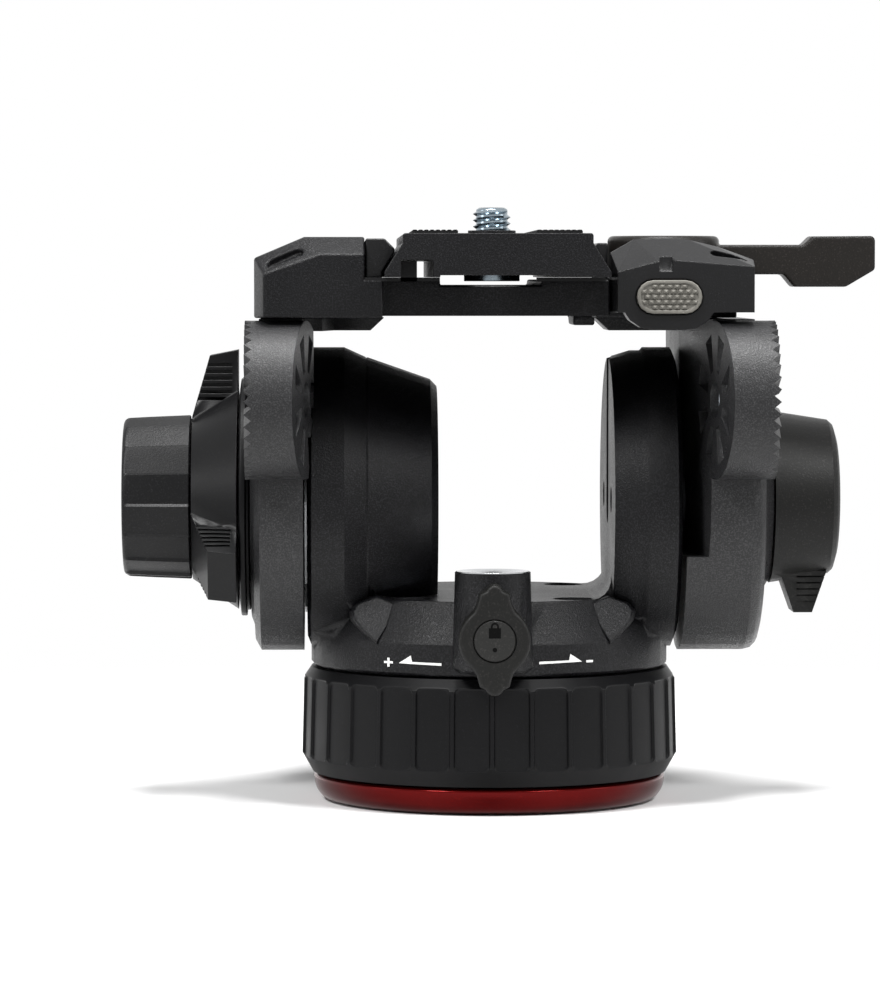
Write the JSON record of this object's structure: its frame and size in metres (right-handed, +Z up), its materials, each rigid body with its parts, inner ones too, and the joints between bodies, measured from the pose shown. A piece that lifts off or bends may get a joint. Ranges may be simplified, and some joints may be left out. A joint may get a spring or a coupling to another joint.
{
  "type": "fluid video head",
  "caption": "Flat-base pan and tilt head with a U-shaped frame, fluid drag, counterbalance dial, two rosettes and a clamped sliding camera plate.",
  "frame": {"origin": "on the pan axis, at the underside of the base, which the tripod's top plate meets", "axes": "+Z up along the pan axis; +X along the tilt axis, from the drag knob to the tilt lock knob; -Y towards the operator, whose side holds the rosettes, the level and the pan lock"},
  "size_m": [0.1885, 0.14, 0.1503],
  "materials": {
    "powder_coat": "fine-textured black powder coat on cast aluminium",
    "satin_cast": "cast aluminium, painted satin dark grey",
    "gloss_black": "cast aluminium under semi-gloss black paint",
    "ring_black": "satin black anodised",
    "moulded_black": "moulded black, semi-gloss",
    "moulded_grey": "moulded dark grey",
    "rubber": "matt rubber",
    "red_anodised": "glossy red anodised",
    "steel": "bright zinc-plated steel",
    "aluminium": "machined aluminium",
    "lever_plastic": "moulded dark warm grey",
    "button_grey": "moulded mid grey",
    "bronze": "plain bearing bronze",
    "brake_lining": "dry friction lining",
    "clear_acrylic": "clear domed window"
  },
  "bodies": {
    "base": {"base_disc": "aluminium", "base_ring": "red_anodised", "mounting_bush": "steel", "pan_spindle": "steel", "pan_thrust_washer": "bronze", "pan_fluid_cup": "aluminium", "pan_friction_washer": "brake_lining", "pan_brake_drum": "steel"},
    "pan_drag_ring": {"pan_drag_ring": "ring_black"},
    "pan_frame": {"u_frame": "powder_coat", "pan_bearing": "steel", "pan_drag_rotor": "aluminium", "floor_screw_left_front": "steel", "floor_screw_left_rear": "steel", "floor_screw_right_front": "steel", "floor_screw_right_rear": "steel", "wall_screw_front": "steel", "wall_screw_rear": "steel", "tilt_fluid_cup": "aluminium", "tilt_axle_left": "steel", "tilt_axle_right": "steel", "tilt_brake_pad": "brake_lining", "counterbalance_drum": "powder_coat", "counterbalance_spring": "steel", "bubble_level_cup": "aluminium", "bubble_level_window": "clear_acrylic"},
    "pan_brake_shoe": {"pan_brake_shoe": "bronze"},
    "pan_lock": {"pan_lock_stem": "steel", "pan_lock_knob": "moulded_grey", "pan_lock_cap": "moulded_grey"},
    "cradle": {"tilt_arm_left": "satin_cast", "tilt_arm_right": "satin_cast", "tilt_bearing_left": "steel", "tilt_bearing_right": "steel", "rosette_insert_left": "steel", "rosette_insert_right": "steel", "tilt_drag_rotor": "aluminium", "tilt_brake_disc": "steel", "left_side_cover": "ring_black", "platform_body": "powder_coat", "fixed_jaw": "gloss_black", "release_housing": "gloss_black"},
    "release_button": {"release_button": "button_grey", "release_catch_pin": "steel"},
    "moving_jaw": {"moving_jaw": "gloss_black"},
    "plate_lever": {"plate_lever": "lever_plastic"},
    "camera_plate": {"camera_plate": "powder_coat", "plate_pad_left": "rubber", "plate_pad_right": "rubber"},
    "screw_carrier": {"screw_collar": "powder_coat"},
    "camera_screw": {"camera_screw": "steel"},
    "counterbalance_dial": {"counterbalance_dial": "moulded_black"},
    "tilt_drag_knob": {"drag_knob_grip": "rubber", "drag_knob_core": "moulded_black"},
    "tilt_lock_knob": {"tilt_lock_knob": "moulded_grey"}
  },
  "joints": [
    {"name": "pan", "type": "hinge", "parent": "base", "child": "pan_frame", "pos_m": [0, 0, 0.034], "axis": [0, 0, 1], "continuous": true},
    {"name": "pan_drag_turn", "type": "hinge", "parent": "pan_frame", "child": "pan_drag_ring", "pos_m": [0, 0, 0.02], "axis": [0, 0, 1], "range_deg": [-120, 120]},
    {"name": "pan_lock_turn", "type": "hinge", "parent": "pan_frame", "child": "pan_lock", "pos_m": [-0.0006, -0.06, 0.0449], "axis": [0, 1, 0], "range_deg": [0, 90]},
    {"name": "pan_shoe_push", "type": "slide", "parent": "pan_frame", "child": "pan_brake_shoe", "axis": [0, 1, 0], "range_m": [0, 0.0004]},
    {"name": "tilt", "type": "hinge", "parent": "pan_frame", "child": "cradle", "pos_m": [0, 0, 0.0769], "axis": [1, 0, 0], "range_deg": [-80, 60]},
    {"name": "counterbalance_turn", "type": "hinge", "parent": "pan_frame", "child": "counterbalance_dial", "pos_m": [-0.07, 0, 0.0769], "axis": [1, 0, 0], "range_deg": [-30, 60]},
    {"name": "tilt_drag_turn", "type": "hinge", "parent": "pan_frame", "child": "tilt_drag_knob", "pos_m": [-0.085, 0, 0.0769], "axis": [1, 0, 0], "range_deg": [-150, 150]},
    {"name": "tilt_lock_turn", "type": "hinge", "parent": "pan_frame", "child": "tilt_lock_knob", "pos_m": [0.08, 0, 0.0769], "axis": [1, 0, 0], "range_deg": [0, 90]},
    {"name": "plate_slide", "type": "slide", "parent": "cradle", "child": "camera_plate", "axis": [0, 1, 0], "range_m": [-0.03, 0.03]},
    {"name": "screw_slide", "type": "slide", "parent": "camera_plate", "child": "screw_carrier", "axis": [0, 1, 0], "range_m": [-0.02, 0.06]},
    {"name": "screw_turn", "type": "hinge", "parent": "screw_carrier", "child": "camera_screw", "pos_m": [0, -0.02, 0.14], "axis": [0, 0, 1], "continuous": true},
    {"name": "lever_swing", "type": "hinge", "parent": "cradle", "child": "plate_lever", "pos_m": [0.043, -0.02, 0.138], "axis": [0, 0, 1], "range_deg": [0, 45]},
    {"name": "jaw_slide", "type": "slide", "parent": "cradle", "child": "moving_jaw", "axis": [1, 0, 0], "range_m": [0, 0.0005]},
    {"name": "button_push", "type": "slide", "parent": "cradle", "child": "release_button", "axis": [0, 1, 0], "range_m": [0, 0.002], "stiffness_N_per_m": 500}
  ],
  "couplings": [
    {"joint": "pan_lock_turn", "follows": "pan_shoe_push", "rad_per_m": 3926.9},
    {"joint": "jaw_slide", "follows": "lever_swing", "m_per_rad": 0.0006366}
  ]
}
